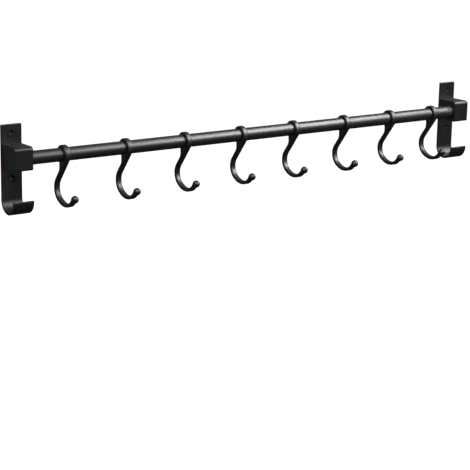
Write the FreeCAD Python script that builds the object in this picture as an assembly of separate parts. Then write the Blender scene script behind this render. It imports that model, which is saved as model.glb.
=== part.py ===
import FreeCAD, Part
import math
import os

os.makedirs("parts", exist_ok=True)
V = FreeCAD.Vector

# Kitchen utensil rail, millimetres.
# X runs along the rail, the wall is the plane y = 0, the front faces -Y, +Z is up.
# The origin is the centre of the four screw places, on the wall plane.

# ---- driving dimensions -------------------------------------------------
bracket_spacing = 666.0      # centre to centre of the two brackets
plate_width = 26.0           # plate and bent lower hook, along the rail
block_width = 23.3           # block, set in a little from both edges of the plate
plate_thickness = 3.0
plate_top = 35.7             # height of the plate's upper end
block_top = 13.4             # block on the plate, heights of its top and underside
block_bottom = -13.8
block_front = 32.3           # distance of the block's front from the wall
block_top_radius = 4.0       # rounded top front edge of the block
block_low_radius = 2.2
end_hook_radius = 15.6       # outside radius of the bent lower hook
end_hook_centre = -50.3      # height of the bend's centre
end_hook_lip = -48.9         # height of the lip's upper end
edge_break = 0.45            # broken edges of the sawn ends
corner_radius = 1.4          # upper corners of the plate

tube_od = 16.0
tube_wall = 1.2
tube_y = -18.6               # tube axis, distance from the wall
tube_z = -1.95
socket_depth = 17.5          # blind socket in each block
socket_radius = 8.05
tube_insert = 17.0           # how far the tube goes into each socket

screw_pitch_z = 52.0         # two screw places on each plate
screw_hole_radius = 2.75
countersink_offset = 2.52    # cone radius at the wall plane, 45 degree flank
screw_cone_offset = 2.45
screw_head_radius = 5.0
screw_head_y = -2.7          # face of the seated screw head
screw_shank_radius = 2.4
screw_shank_end = 8.2
screw_tip_end = 9.8

set_screw_inset = 9.25       # set screw under the tube, from the block's inner side
set_screw_radius = 1.45
set_screw_hole_radius = 1.5
set_screw_length = 3.0
set_screw_tip_gap = 0.02     # tip under the tube
set_screw_key = 1.5          # hexagon socket, across flats
set_screw_key_depth = 1.3

hook_x = (-274.9, -191.5, -107.9, -24.9, 56.4, 138.6, 216.2, 289.7)
hook_width = 6.7             # one flat casting of this width
ring_bore_radius = 8.35
ring_outer_radius = 11.2
ring_drop = 0.15             # the ring hangs with its centre this far below the tube axis
hook_edge_radius = 1.25
hook_thickness = 4.3
neck_back_y = 5.4            # upright back edge of the neck under the ring
neck_fillet = 2.5            # back edge into the ring
neck_bend = 8.0              # back edge into the stem
# Centre line of the hook's bar below the stem, relative to the tube axis.
spine_radius = 16.0
spine_centre = -41.0         # height of the spine's centre
spine_back = 15.8            # furthest reach towards the wall
belly_start = 30.0           # the spine ends where it runs this far below level
belly_straight = 1.5
belly_radius = 24.0
tip_start = 22.0             # the belly ends where it climbs this steeply
tip_radius = 17.0
tip_end = 58.0
tip_ball_radius = 4.55
tip_ball_centre = (-25.3, -48.45)
tip_flat = 87.0              # the ball ends in small side flats at this latitude, degrees


def save(shape, name):
    shape.exportStep("parts/" + name + ".step")


def edges_at(shape, y, z, tol=0.02):
    out = []
    for e in shape.Edges:
        a, b = e.Vertexes[0].Point, e.Vertexes[-1].Point
        if abs(a.x - b.x) < 1.0:
            continue
        if max(abs(a.y - y), abs(b.y - y), abs(a.z - z), abs(b.z - z)) < tol:
            out.append(e)
    return out


# ---- end bracket: strip bent into a hook below, with a block on its front ----
def prism(outline, w):
    """The closed outline in y and z, extruded along X over the width w about x = 0."""
    body = Part.Face(Part.Wire(outline)).extrude(V(w, 0, 0))
    body.translate(V(-w / 2.0, 0, 0))
    return body


def broken(body, w):
    """Edges broken all round both sawn ends."""
    sawn = [e for e in body.Edges
            if e.BoundBox.XLength < 1e-4 and abs(abs(e.BoundBox.XMin) - w / 2.0) < 1e-4]
    return body.makeChamfer(edge_break, sawn)


def bracket(inward):
    """Bracket centred on x = 0; inward is +1 where the tube leaves towards +X."""
    t, w = plate_thickness, plate_width
    ro = end_hook_radius
    ri = ro - t
    zc = end_hook_centre

    def p(y, z):
        return V(0, y, z)

    strip = prism([
        Part.makeLine(p(0, plate_top), p(-t, plate_top)),
        Part.makeLine(p(-t, plate_top), p(-t, zc)),
        Part.Arc(p(-t, zc), p(-ro, zc - ri), p(-2 * ro + t, zc)).toShape(),
        Part.makeLine(p(-2 * ro + t, zc), p(-2 * ro + t, end_hook_lip)),
        Part.makeLine(p(-2 * ro + t, end_hook_lip), p(-2 * ro, end_hook_lip)),
        Part.makeLine(p(-2 * ro, end_hook_lip), p(-2 * ro, zc)),
        Part.Arc(p(-2 * ro, zc), p(-ro, zc - ro), p(0, zc)).toShape(),
        Part.makeLine(p(0, zc), p(0, plate_top)),
    ], w)
    for y, z, r in (
        (0, plate_top, 0.6),
        (-t, plate_top, 0.9),
        (-2 * ro + t, end_hook_lip, 0.9),
        (-2 * ro, end_hook_lip, 0.9),
    ):
        strip = strip.makeFillet(r, edges_at(strip, y, z))
    strip = broken(strip, w)

    root = -t / 2.0              # the block's own back, inside the strip
    block = prism([
        Part.makeLine(p(root, block_top), p(-block_front, block_top)),
        Part.makeLine(p(-block_front, block_top), p(-block_front, block_bottom)),
        Part.makeLine(p(-block_front, block_bottom), p(root, block_bottom)),
        Part.makeLine(p(root, block_bottom), p(root, block_top)),
    ], block_width)
    block = block.makeFillet(block_top_radius, edges_at(block, -block_front, block_top))
    block = block.makeFillet(block_low_radius, edges_at(block, -block_front, block_bottom))
    block = broken(block, block_width)
    body = strip.fuse(block).removeSplitter()

    # rounded upper corners of the plate
    for s in (-1, 1):
        c = V(s * (w / 2.0 - corner_radius), 1, plate_top - corner_radius)
        tool = Part.makeBox(corner_radius + 1, t + 2, corner_radius + 1,
                            V(c.x if s > 0 else c.x - corner_radius - 1, -t - 1, c.z))
        tool = tool.cut(Part.makeCylinder(corner_radius, t + 4, c + V(0, 1, 0), V(0, -1, 0)))
        body = body.cut(tool)

    # blind socket for the tube, from the inner side
    xin = inward * block_width / 2.0
    socket = Part.makeCylinder(socket_radius, socket_depth, V(xin, tube_y, tube_z), V(-inward, 0, 0))
    lead = Part.makeCone(socket_radius + 0.4, socket_radius, 0.4, V(xin, tube_y, tube_z), V(-inward, 0, 0))
    body = body.cut(socket).cut(lead)

    # hole for the set screw that holds the tube, from the underside of the block
    xs = xin - inward * set_screw_inset
    low = block_bottom
    body = body.cut(Part.makeCylinder(set_screw_hole_radius, -low + tube_z - 7.0 + 0.5,
                                      V(xs, tube_y, low - 0.5), V(0, 0, 1)))
    body = body.cut(Part.makeCone(set_screw_hole_radius + 0.3, set_screw_hole_radius, 0.3,
                                  V(xs, tube_y, low), V(0, 0, 1)))

    # countersunk screw holes
    for s in (-1, 1):
        z = s * screw_pitch_z / 2.0
        hole = Part.makeCylinder(screw_hole_radius, t + 2, V(0, 1, z), V(0, -1, 0))
        r_front = countersink_offset + t
        sink = Part.makeCone(countersink_offset, r_front + 1.0, t + 1.0, V(0, 0, z), V(0, -1, 0))
        body = body.cut(hole).cut(sink)
    return body.removeSplitter()


# ---- tube --------------------------------------------------------------------
def tube():
    half = bracket_spacing / 2.0 - block_width / 2.0 + tube_insert
    a = V(-half, tube_y, tube_z)
    outer = Part.makeCylinder(tube_od / 2.0, 2 * half, a, V(1, 0, 0))
    inner = Part.makeCylinder(tube_od / 2.0 - tube_wall, 2 * half + 2, a - V(1, 0, 0), V(1, 0, 0))
    body = outer.cut(inner)
    ends = [e for e in body.Edges if e.BoundBox.XLength < 1e-4 and e.BoundBox.YLength > tube_od - 0.1]
    return body.makeChamfer(0.3, ends)


# ---- sliding hook: one casting ---------------------------------------------
def hook():
    w, rr, h = hook_width, ring_outer_radius, hook_thickness / 2.0

    def p(y, z):
        return V(0, y, z)

    def arc(c, r, a0, a1):
        """Arc about c from direction a0 to a1, degrees, 0 = +Y and 90 = +Z."""
        def at(a):
            return p(c[0] + r * math.cos(math.radians(a)), c[1] + r * math.sin(math.radians(a)))
        return Part.Arc(at(a0), at((a0 + a1) / 2.0), at(a1)).toShape()

    # stem: straight, its front edge tangent to the ring above and to the spine below
    z0 = -ring_drop
    c1 = (spine_back - spine_radius, spine_centre)
    reach = math.hypot(c1[0], c1[1] - z0)
    na = math.degrees(math.asin((rr - h + spine_radius) / reach) - math.atan2(-c1[0], -(c1[1] - z0)))
    d = (math.sin(math.radians(na)), -math.cos(math.radians(na)))
    n = (d[1], -d[0])
    front_top = p(rr * n[0], z0 + rr * n[1])

    # spine
    a1_start = math.degrees(math.atan2(-n[1], -n[0]))
    a1_end = -(90.0 - belly_start)
    # short straight, then the belly
    q = (c1[0] + spine_radius * math.cos(math.radians(a1_end)),
         c1[1] + spine_radius * math.sin(math.radians(a1_end)))
    e = (-math.cos(math.radians(belly_start)), -math.sin(math.radians(belly_start)))
    q2 = (q[0] + belly_straight * e[0], q[1] + belly_straight * e[1])
    u = (math.cos(math.radians(a1_end)), math.sin(math.radians(a1_end)))
    c2 = (q2[0] - belly_radius * u[0], q2[1] - belly_radius * u[1])
    a2_end = -90.0 - tip_start
    u2 = (math.cos(math.radians(a2_end)), math.sin(math.radians(a2_end)))
    c3 = (c2[0] + (belly_radius - tip_radius) * u2[0], c2[1] + (belly_radius - tip_radius) * u2[1])
    a3_end = -90.0 - tip_end
    u3 = (math.cos(math.radians(a3_end)), math.sin(math.radians(a3_end)))
    end = (c3[0] + tip_radius * u3[0], c3[1] + tip_radius * u3[1])
    f = (u3[1], -u3[0])
    cap = p(end[0] + h * f[0], end[1] + h * f[1])

    def side(k):
        """Bar edge at k times the half thickness outside the centre line, stem to tip."""
        o = k * h
        return [
            arc(c1, spine_radius + o, a1_start, a1_end),
            Part.makeLine(p(q[0] + o * u[0], q[1] + o * u[1]), p(q2[0] + o * u[0], q2[1] + o * u[1])),
            arc(c2, belly_radius + o, a1_end, a2_end),
            arc(c3, tip_radius + o, a2_end, a3_end),
        ]

    inner, outer = side(-1), side(+1)
    t_in = p(c1[0] - (spine_radius - h) * n[0], c1[1] - (spine_radius - h) * n[1])
    t_out = p(c1[0] - (spine_radius + h) * n[0], c1[1] - (spine_radius + h) * n[1])

    # upright back edge, filleted into the ring above and bent into the stem below
    rf, rb = neck_fillet, neck_bend
    centre = p(0, z0)
    fc = p(neck_back_y + rf, z0 - math.sqrt((rr + rf) ** 2 - (neck_back_y + rf) ** 2))
    on_line = p(neck_back_y, fc.z)
    on_ring = centre + (fc - centre) * (rr / (rr + rf))
    mid_dir = ((on_line - fc).normalize() + (on_ring - fc).normalize()).normalize()
    z_corner = z0 - ((rr - 2 * h) - n[0] * neck_back_y) / -n[1]
    run = rb * math.tan(math.radians(na) / 2.0)
    bend_top = p(neck_back_y, z_corner + run)
    bend_low = p(neck_back_y + run * d[0], z_corner + run * d[1])
    bend_c = p(neck_back_y + rb, z_corner + run)
    bend_mid = bend_c + ((bend_top - bend_c).normalize() + (bend_low - bend_c).normalize()).normalize() * rb

    edges = [
        Part.Arc(on_ring, p(0, z0 + rr), front_top).toShape(),
        Part.makeLine(front_top, t_in),
    ] + inner + [
        Part.Arc(p(end[0] - h * u3[0], end[1] - h * u3[1]), cap, p(end[0] + h * u3[0], end[1] + h * u3[1])).toShape(),
    ] + outer[::-1] + [
        Part.makeLine(t_out, bend_low),
        Part.Arc(bend_low, bend_mid, bend_top).toShape(),
        Part.makeLine(bend_top, on_line),
        Part.Arc(on_line, fc + mid_dir * rf, on_ring).toShape(),
    ]
    wire = Part.Wire(Part.__sortEdges__(edges))
    body = Part.Face(wire).extrude(V(w, 0, 0))
    body.translate(V(-w / 2.0, 0, 0))

    rim = [e for e in body.Edges if e.BoundBox.XLength < 1e-4]
    body = body.makeFillet(hook_edge_radius, rim)

    bore = Part.makeCylinder(ring_bore_radius, w + 2, V(-w / 2.0 - 1, 0, z0), V(1, 0, 0))
    body = body.cut(bore)
    mouth = [e for e in body.Edges
             if e.BoundBox.XLength < 1e-4 and abs(e.BoundBox.YLength - 2 * ring_bore_radius) < 0.01]
    body = body.makeFillet(0.5, mouth)

    # ball tip with a very small flat on each side
    ball = Part.makeSphere(tip_ball_radius, V(0, tip_ball_centre[0], tip_ball_centre[1]), V(1, 0, 0),
                           -tip_flat, tip_flat, 360)
    body = body.fuse(ball).removeSplitter()
    return body


# ---- countersunk wall screw -------------------------------------------------
def screw():
    yh = screw_head_y
    rs = screw_shank_radius
    y_cone = screw_cone_offset - rs          # where the head cone meets the shank
    y_rim = screw_cone_offset - screw_head_radius
    prof = [
        V(0, yh, 0),
        V(screw_head_radius - 0.15, yh, 0),
        V(screw_head_radius, yh + 0.1, 0),
        V(screw_head_radius, y_rim, 0),
        V(rs, y_cone, 0),
        V(rs, screw_shank_end, 0),
        V(0.25, screw_tip_end, 0),
        V(0, screw_tip_end, 0),
        V(0, yh, 0),
    ]
    face = Part.Face(Part.makePolygon(prof))
    body = face.revolve(V(0, 0, 0), V(0, 1, 0), 360)
    for k in (0, 1):
        arm = Part.makeBox(5.6, 1.9, 1.1, V(-2.8, yh - 0.3, -0.55))
        if k:
            arm.rotate(V(0, 0, 0), V(0, 1, 0), 90)
        body = body.cut(arm)
    return body


# ---- set screw, headless with a hexagon socket -----------------------------
def set_screw():
    """Upright, tip up, its tip plane at z = 0."""
    r, c = set_screw_radius, 0.3
    prof = [
        V(0, 0, 0),
        V(r - c, 0, 0),
        V(r, 0, -c),
        V(r, 0, -set_screw_length + c),
        V(r - c, 0, -set_screw_length),
        V(0, 0, -set_screw_length),
        V(0, 0, 0),
    ]
    body = Part.Face(Part.makePolygon(prof)).revolve(V(0, 0, 0), V(0, 0, 1), 360)
    rk = set_screw_key / math.sqrt(3.0)
    hexagon = [V(rk * math.cos(math.radians(60 * k)), rk * math.sin(math.radians(60 * k)),
                 -set_screw_length - 0.5) for k in range(7)]
    key = Part.Face(Part.makePolygon(hexagon)).extrude(V(0, 0, set_screw_key_depth + 0.5))
    return body.cut(key)


left = bracket(+1)
left.translate(V(-bracket_spacing / 2.0, 0, 0))
save(left, "bracket_left")

right = bracket(-1)
right.translate(V(bracket_spacing / 2.0, 0, 0))
save(right, "bracket_right")

save(tube(), "rail_tube")

one = hook()
for i, x in enumerate(hook_x):
    h = one.copy()
    h.translate(V(x, tube_y, tube_z))
    save(h, "hook_%d" % (i + 1))

screws = []
proto = screw()
for sx in (-1, 1):
    for sz in (-1, 1):
        c = proto.copy()
        c.translate(V(sx * bracket_spacing / 2.0, 0, sz * screw_pitch_z / 2.0))
        screws.append(c)
save(Part.makeCompound(screws), "wall_screws")

tube_screws = []
set_proto = set_screw()
for sx in (-1, 1):
    c = set_proto.copy()
    c.translate(V(sx * (bracket_spacing / 2.0 - block_width / 2.0 + set_screw_inset),
                  tube_y, tube_z - tube_od / 2.0 - set_screw_tip_gap))
    tube_screws.append(c)
save(Part.makeCompound(tube_screws), "tube_set_screws")

for n, s in (("left", left), ("right", right), ("tube", tube()), ("hook", one), ("screw", proto),
             ("set screw", set_proto)):
    bb = s.BoundBox
    print(n, s.isValid(), s.ShapeType, len(s.Solids), round(s.Volume, 1),
          [round(v, 2) for v in (bb.XMin, bb.XMax, bb.YMin, bb.YMax, bb.ZMin, bb.ZMax)],
          [round(v, 2) for v in s.CenterOfGravity])
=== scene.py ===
import math

import bmesh
import bpy
from mathutils import Matrix, Vector


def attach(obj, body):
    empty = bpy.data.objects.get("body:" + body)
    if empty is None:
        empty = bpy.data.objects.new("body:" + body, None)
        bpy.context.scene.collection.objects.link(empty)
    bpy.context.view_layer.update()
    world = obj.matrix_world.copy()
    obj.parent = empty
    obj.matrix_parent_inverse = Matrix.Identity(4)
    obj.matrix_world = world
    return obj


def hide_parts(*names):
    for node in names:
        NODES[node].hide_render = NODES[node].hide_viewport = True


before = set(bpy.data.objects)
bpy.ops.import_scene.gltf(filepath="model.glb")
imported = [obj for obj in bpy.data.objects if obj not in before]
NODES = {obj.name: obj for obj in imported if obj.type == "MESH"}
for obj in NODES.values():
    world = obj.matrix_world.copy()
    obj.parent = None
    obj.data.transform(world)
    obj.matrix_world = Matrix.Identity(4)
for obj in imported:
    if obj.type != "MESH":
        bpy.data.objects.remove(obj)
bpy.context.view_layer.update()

HOOKS = ["hook_%d" % i for i in range(1, 9)]
MM = 0.001


# ---- node helpers -----------------------------------------------------------
class Tree:
    """A material's node tree with short calls for the nodes used here."""

    def __init__(self, name):
        self.mat = bpy.data.materials.new(name)
        self.mat.use_nodes = True
        self.nt = self.mat.node_tree
        self.nt.nodes.clear()
        self.out = self.nt.nodes.new("ShaderNodeOutputMaterial")
        self.bsdf = self.nt.nodes.new("ShaderNodeBsdfPrincipled")
        self.nt.links.new(self.bsdf.outputs["BSDF"], self.out.inputs["Surface"])
        self.coord = self.nt.nodes.new("ShaderNodeTexCoord").outputs["Object"]

    def node(self, kind, **values):
        n = self.nt.nodes.new(kind)
        for k, v in values.items():
            setattr(n, k, v)
        return n

    def put(self, socket, value):
        if isinstance(value, bpy.types.NodeSocket):
            self.nt.links.new(value, socket)
        else:
            socket.default_value = value

    def stretched(self, sx, sy, sz):
        m = self.node("ShaderNodeMapping")
        self.put(m.inputs["Vector"], self.coord)
        m.inputs["Scale"].default_value = (sx, sy, sz)
        return m.outputs["Vector"]

    def noise(self, scale, detail=2.0, rough=0.5, vector=None):
        n = self.node("ShaderNodeTexNoise")
        self.put(n.inputs["Vector"], vector or self.coord)
        n.inputs["Scale"].default_value = scale
        n.inputs["Detail"].default_value = detail
        n.inputs["Roughness"].default_value = rough
        return n.outputs["Fac"]

    def ranged(self, value, a, b, c, d):
        m = self.node("ShaderNodeMapRange")
        self.put(m.inputs["Value"], value)
        for k, v in zip(("From Min", "From Max", "To Min", "To Max"), (a, b, c, d)):
            m.inputs[k].default_value = v
        return m.outputs["Result"]

    def math(self, op, a, b=0.0):
        m = self.node("ShaderNodeMath", operation=op)
        self.put(m.inputs[0], a)
        self.put(m.inputs[1], b)
        return m.outputs["Value"]

    def mixed(self, fac, a, b):
        m = self.node("ShaderNodeMix", data_type="RGBA")
        self.put(m.inputs["Factor"], fac)
        self.put(m.inputs["A"], a)
        self.put(m.inputs["B"], b)
        for s in m.inputs:
            if s.type == "RGBA" and s.name == "A":
                self.put(s, a)
            if s.type == "RGBA" and s.name == "B":
                self.put(s, b)
        for s in m.outputs:
            if s.type == "RGBA":
                return s

    def bump(self, height, distance, strength, normal=None):
        b = self.node("ShaderNodeBump")
        self.put(b.inputs["Height"], height)
        b.inputs["Distance"].default_value = distance
        b.inputs["Strength"].default_value = strength
        if normal is not None:
            self.put(b.inputs["Normal"], normal)
        return b.outputs["Normal"]

    def round_places(self, x, z, radius):
        """1 within the radius of the four axes at plus and minus x and z, 0 elsewhere."""
        size = self.node("ShaderNodeVectorMath", operation="ABSOLUTE")
        self.put(size.inputs[0], self.coord)
        off = self.node("ShaderNodeVectorMath", operation="SUBTRACT")
        self.put(off.inputs[0], size.outputs["Vector"])
        off.inputs[1].default_value = (x, 0.0, z)
        flat = self.node("ShaderNodeVectorMath", operation="MULTIPLY")
        self.put(flat.inputs[0], off.outputs["Vector"])
        flat.inputs[1].default_value = (1.0, 0.0, 1.0)
        length = self.node("ShaderNodeVectorMath", operation="LENGTH")
        self.put(length.inputs[0], flat.outputs["Vector"])
        return self.ranged(length.outputs["Value"], radius, radius + 0.00015, 1.0, 0.0)

    def edges(self, radius, low, high):
        """0 on flat faces, up to 1 on edges narrower than radius."""
        bev = self.node("ShaderNodeBevel", samples=6)
        bev.inputs["Radius"].default_value = radius
        geo = self.node("ShaderNodeNewGeometry")
        dot = self.node("ShaderNodeVectorMath", operation="DOT_PRODUCT")
        self.put(dot.inputs[0], bev.outputs["Normal"])
        self.put(dot.inputs[1], geo.outputs["Normal"])
        off = self.math("SUBTRACT", 1.0, dot.outputs["Value"])
        return self.ranged(off, low, high, 0.0, 1.0)


def coated(name, dark, light, worn, rough, peel, peel_depth, grit, grit_depth, wear, streak=None, dull=None, gloss=0.5):
    """Thin black coating over metal: mottled tone, uneven gloss, fine skin texture, edges rubbed a little."""
    t = Tree(name)
    cloud = t.noise(26.0, 4.0, 0.55)
    speck = t.noise(grit, 1.0)
    tone = t.ranged(cloud, 0.32, 0.68, 0.0, 1.0)
    colour = t.mixed(tone, dark, light)

    edge = t.edges(0.0009, 0.015, 0.22)
    patch = t.ranged(t.noise(170.0, 3.0, 0.6), 0.40, 0.66, 0.15, 1.0)
    rub = t.math("MULTIPLY", t.math("MULTIPLY", edge, patch), wear)
    t.put(t.bsdf.inputs["Base Color"], t.mixed(rub, colour, worn))

    handling = t.noise(60.0, 5.0, 0.6)
    r = t.ranged(handling, 0.30, 0.70, rough - 0.025, rough + 0.025)
    r = t.math("ADD", r, t.ranged(speck, 0.3, 0.7, -0.025, 0.025))
    r = t.math("SUBTRACT", r, t.math("MULTIPLY", rub, 0.10))
    normal = t.bump(t.noise(peel, 2.0, 0.5), peel_depth, 1.0)
    normal = t.bump(speck, grit_depth, 1.0, normal)
    if streak is not None:
        line = t.noise(1.0, 3.0, 0.6, t.stretched(*streak))
        r = t.math("ADD", r, t.ranged(line, 0.3, 0.7, -0.025, 0.025))
        normal = t.bump(line, 0.8e-6, 1.0, normal)
    if dull is not None:
        near = t.round_places(*dull)
        r = t.math("ADD", r, t.math("MULTIPLY", near, 0.40))
        t.put(t.bsdf.inputs["Specular IOR Level"], t.ranged(near, 0.0, 1.0, gloss, 0.10))
    else:
        t.bsdf.inputs["Specular IOR Level"].default_value = gloss
    t.put(t.bsdf.inputs["Roughness"], r)
    t.put(t.bsdf.inputs["Normal"], normal)
    t.bsdf.inputs["Metallic"].default_value = 0.0
    t.bsdf.inputs["IOR"].default_value = 2.0
    return t.mat


BRACKET = coated("bracket_satin_black", (0.0031, 0.0031, 0.0034, 1), (0.0063, 0.0063, 0.0068, 1), (0.0510, 0.0510, 0.0527, 1),
                 0.37, 620.0, 7e-6, 2600.0, 2.5e-6, 0.40, None, (0.333, 0.026, 0.0055))
TUBE = coated("tube_satin_black", (0.0095, 0.0095, 0.0101, 1), (0.0150, 0.0150, 0.0160, 1), (0.1020, 0.1020, 0.1071, 1),
              0.41, 420.0, 2.0e-6, 3200.0, 1.0e-6, 0.30, (5.0, 1500.0, 1500.0))
HOOK = coated("hook_satin_black", (0.0066, 0.0066, 0.0071, 1), (0.0118, 0.0118, 0.0126, 1), (0.0850, 0.0850, 0.0884, 1),
              0.42, 560.0, 7e-6, 2800.0, 2.5e-6, 0.40)
SCREW = coated("screw_black_oxide", (0.0045, 0.0045, 0.0048, 1), (0.0090, 0.0088, 0.0088, 1), (0.0400, 0.0390, 0.0380, 1),
               0.66, 1500.0, 6e-6, 4200.0, 2e-6, 0.25, gloss=0.14)

FINISH = {"bracket_left": BRACKET, "bracket_right": BRACKET, "rail_tube": TUBE,
          "wall_screws": SCREW, "tube_set_screws": SCREW}
FINISH.update({h: HOOK for h in HOOKS})
for name, obj in NODES.items():
    obj.data.materials.clear()
    obj.data.materials.append(FINISH[name])


# ---- wall screws: the modelled heads with threaded shanks in place of the plain ones -----
def threaded_shank(bm, x, z):
    """Closed shank about the axis at x, z: plain collar, helical thread, drawn-out point."""
    turns, rows = 40, 190
    y0, y1 = -0.4, 9.78
    pitch, core, crest = 2.2, 1.62, 2.37
    rings = []
    for j in range(rows + 1):
        y = y0 + (y1 - y0) * j / rows
        fade = min(1.0, max(0.0, (y - 0.5) / 1.2)) * min(1.0, max(0.0, (y1 - 0.25 - y) / 1.5))
        point = min(1.0, max(0.04, (y1 - y) / 2.6)) ** 0.75
        ring = []
        for i in range(turns):
            a = 2.0 * math.pi * i / turns
            phase = (y / pitch - i / turns) % 1.0
            ridge = max(0.0, 1.0 - abs(phase - 0.5) / 0.24)
            r = core * point + (crest - core) * ridge * fade * (0.25 + 0.75 * point)
            ring.append(bm.verts.new((x + r * MM * math.cos(a), y * MM, z + r * MM * math.sin(a))))
        rings.append(ring)
    for lower, upper in zip(rings, rings[1:]):
        for i in range(turns):
            k = (i + 1) % turns
            bm.faces.new((lower[i], upper[i], upper[k], lower[k]))
    bm.faces.new(rings[0])
    bm.faces.new(rings[-1][::-1])


def wall_screws():
    bm = bmesh.new()
    bm.from_mesh(NODES["wall_screws"].data)
    bmesh.ops.remove_doubles(bm, verts=bm.verts, dist=2e-6)
    shank = [f for f in bm.faces if max(v.co.y for v in f.verts) > 0.06 * MM]
    bmesh.ops.delete(bm, geom=shank, context="FACES")
    bmesh.ops.holes_fill(bm, edges=[e for e in bm.edges if e.is_boundary], sides=0)
    for sx in (-1, 1):
        for sz in (-1, 1):
            threaded_shank(bm, sx * 0.333, sz * 0.026)
    bmesh.ops.recalc_face_normals(bm, faces=bm.faces)
    me = bpy.data.meshes.new("wall_screws_threaded")
    bm.to_mesh(me)
    bm.free()
    for f in me.polygons:
        f.use_smooth = True
    me.set_sharp_from_angle(angle=math.radians(32))
    me.materials.append(SCREW)
    ob = bpy.data.objects.new("wall_screws_threaded", me)
    bpy.context.scene.collection.objects.link(ob)
    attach(ob, "rail_frame")
    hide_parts("wall_screws")


wall_screws()


# ---- stage --------------------------------------------------------------------
def floor():
    me = bpy.data.meshes.new("stage_floor")
    s = 30.0
    me.from_pydata([(-s, -s, 0), (s, -s, 0), (s, s, 0), (-s, s, 0)], [], [(0, 1, 2, 3)])
    ob = bpy.data.objects.new("stage_floor", me)
    bpy.context.scene.collection.objects.link(ob)
    ob.location = (0, 0, -0.42)
    t = Tree("stage_pale")
    t.put(t.bsdf.inputs["Base Color"], t.mixed(t.noise(3.0, 3.0), (0.86, 0.86, 0.86, 1), (0.89, 0.89, 0.89, 1)))
    t.bsdf.inputs["Roughness"].default_value = 0.9
    t.bsdf.inputs["Emission Color"].default_value = (1, 1, 1, 1)
    t.bsdf.inputs["Emission Strength"].default_value = 0.985
    me.materials.append(t.mat)
    ob.visible_glossy = False
    ob.visible_diffuse = False


def softbox(name, place, target, width, height, power, along=(1, 0, 0), colour=(1, 1, 1)):
    """Rectangular light at place, facing target, its width laid along the given direction."""
    data = bpy.data.lights.new(name, "AREA")
    data.shape = "RECTANGLE"
    data.size, data.size_y = width, height
    data.energy = power
    data.color = colour
    ob = bpy.data.objects.new(name, data)
    bpy.context.scene.collection.objects.link(ob)
    z = (Vector(place) - Vector(target)).normalized()
    x = Vector(along)
    x = (x - z * x.dot(z)).normalized()
    y = z.cross(x)
    ob.matrix_world = Matrix.Translation(place) @ Matrix(
        ((x.x, y.x, z.x), (x.y, y.y, z.y), (x.z, y.z, z.z))).to_4x4()
    ob.visible_camera = False
    return ob


floor()
# In the photograph only the hooks shade their surroundings, so the key light is stopped by the hooks alone.
key = softbox("key", (0.93, -0.66, 0.93), (0.1, -0.02, 0.0), 0.28, 1.30, 21.4, (0.80, 0.137, -0.586), (0.998, 0.992, 1.025))
stops = bpy.data.collections.new("key_stops")
for h in HOOKS:
    stops.objects.link(NODES[h])
key.light_linking.blocker_collection = stops
softbox("front", (0.72, -1.34, 0.26), (0.02, -0.02, 0.0), 1.1, 0.45, 0.46, (0.97, 0.24, 0))
softbox("fill", (-0.20, -1.30, 0.95), (0.0, -0.02, 0.0), 0.8, 0.5, 1.5)
softbox("back", (1.1, 1.3, 0.40), (0.1, -0.02, 0.0), 1.8, 0.6, 0.73, (0.76, -0.65, 0))
softbox("back_left", (-1.2, 1.6, 0.05), (-0.1, -0.02, 0.0), 1.8, 1.2, 0.38, (0.8, 0.6, 0))
# Seen only from other sides: a second high light from the left, and one from above the wall.
softbox("left", (-0.95, -0.60, 0.95), (-0.1, -0.02, 0.0), 0.4, 1.1, 8.5, (0.80, -0.137, 0.586))
softbox("above", (0.7, 0.75, 1.05), (0.0, 0.0, 0.0), 0.9, 0.5, 0.35, (0.76, -0.65, 0))

world = bpy.data.worlds.new("studio")
world.use_nodes = True
nt = world.node_tree
nt.nodes.clear()
out = nt.nodes.new("ShaderNodeOutputWorld")
mix = nt.nodes.new("ShaderNodeMixShader")
seen = nt.nodes.new("ShaderNodeLightPath")
lit = nt.nodes.new("ShaderNodeBackground")
shown = nt.nodes.new("ShaderNodeBackground")
lit.inputs["Color"].default_value = (0.96, 0.96, 1.12, 1)
lit.inputs["Strength"].default_value = 0.028
shown.inputs["Color"].default_value = (1, 1, 1, 1)
shown.inputs["Strength"].default_value = 1.0
nt.links.new(seen.outputs["Is Camera Ray"], mix.inputs[0])
nt.links.new(lit.outputs[0], mix.inputs[1])
nt.links.new(shown.outputs[0], mix.inputs[2])
nt.links.new(mix.outputs[0], out.inputs["Surface"])
bpy.context.scene.world = world

view = bpy.context.scene.view_settings
view.view_transform = "Standard"
view.look = "None"
view.exposure = 0.0
view.gamma = 1.0

# ---- camera: the photograph's viewpoint ------------------------------------------
right = Vector((0.81237978, -0.582825, 0.01881763))
up = Vector((0.1248038, 0.20530095, 0.97070878))
back = Vector((-0.56961662, -0.78623567, 0.23952112))
cam_data = bpy.data.cameras.new("camera")
cam_data.lens = 122.88
cam_data.sensor_width = 36.0
cam_data.clip_start, cam_data.clip_end = 0.05, 100.0
cam = bpy.data.objects.new("camera", cam_data)
bpy.context.scene.collection.objects.link(cam)
cam.matrix_world = Matrix.Translation((-1.17202, -1.59389, 0.35143)) @ Matrix((
    (right.x, up.x, back.x), (right.y, up.y, back.y), (right.z, up.z, back.z))).to_4x4()
bpy.context.scene.camera = cam
